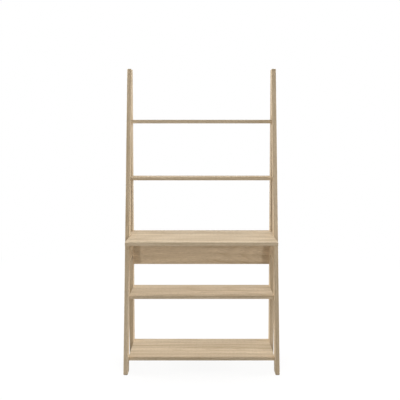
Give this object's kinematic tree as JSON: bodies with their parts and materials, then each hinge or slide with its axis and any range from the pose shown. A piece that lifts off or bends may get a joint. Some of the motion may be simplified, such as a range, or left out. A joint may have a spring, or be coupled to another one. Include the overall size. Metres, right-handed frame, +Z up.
{
  "type": "ladder desk",
  "caption": "Free-standing ladder desk: leaning side frames carry a deep desktop, narrowing open shelves and a back panel.",
  "frame": {"origin": "on the floor under the middle of the bounding box", "axes": "+Z up, -Y the front where a person sits, +X the right seen from the front"},
  "size_m": [0.88, 0.475, 1.74],
  "materials": {
    "frame_wood": "washed oak veneer, matt",
    "board_wood": "washed oak veneer, matt",
    "dowel_wood": "plain beech",
    "cam_metal": "zinc casting",
    "bolt_steel": "zinc plated",
    "pad_plastic": "dark plastic"
  },
  "bodies": {
    "root": {"left_leg": "frame_wood", "left_post": "frame_wood", "left_rail": "frame_wood", "left_leg_pad": "pad_plastic", "left_post_pad": "pad_plastic", "left_frame_dowels": "dowel_wood", "right_leg": "frame_wood", "right_post": "frame_wood", "right_rail": "frame_wood", "right_leg_pad": "pad_plastic", "right_post_pad": "pad_plastic", "right_frame_dowels": "dowel_wood", "bottom_shelf": "board_wood", "bottom_shelf_cams": "cam_metal", "bottom_shelf_cam_bolts": "bolt_steel", "bottom_shelf_dowels": "dowel_wood", "lower_shelf": "board_wood", "lower_shelf_cams": "cam_metal", "lower_shelf_cam_bolts": "bolt_steel", "lower_shelf_dowels": "dowel_wood", "desktop": "board_wood", "desktop_cams": "cam_metal", "desktop_cam_bolts": "bolt_steel", "desktop_dowels": "dowel_wood", "upper_shelf": "board_wood", "upper_shelf_cams": "cam_metal", "upper_shelf_cam_bolts": "bolt_steel", "upper_shelf_dowels": "dowel_wood", "top_shelf": "board_wood", "top_shelf_cams": "cam_metal", "top_shelf_cam_bolts": "bolt_steel", "top_shelf_dowels": "dowel_wood", "back_panel": "board_wood", "back_panel_cams": "cam_metal", "back_panel_cam_bolts": "bolt_steel", "back_panel_dowels": "dowel_wood"}
  },
  "joints": []
}
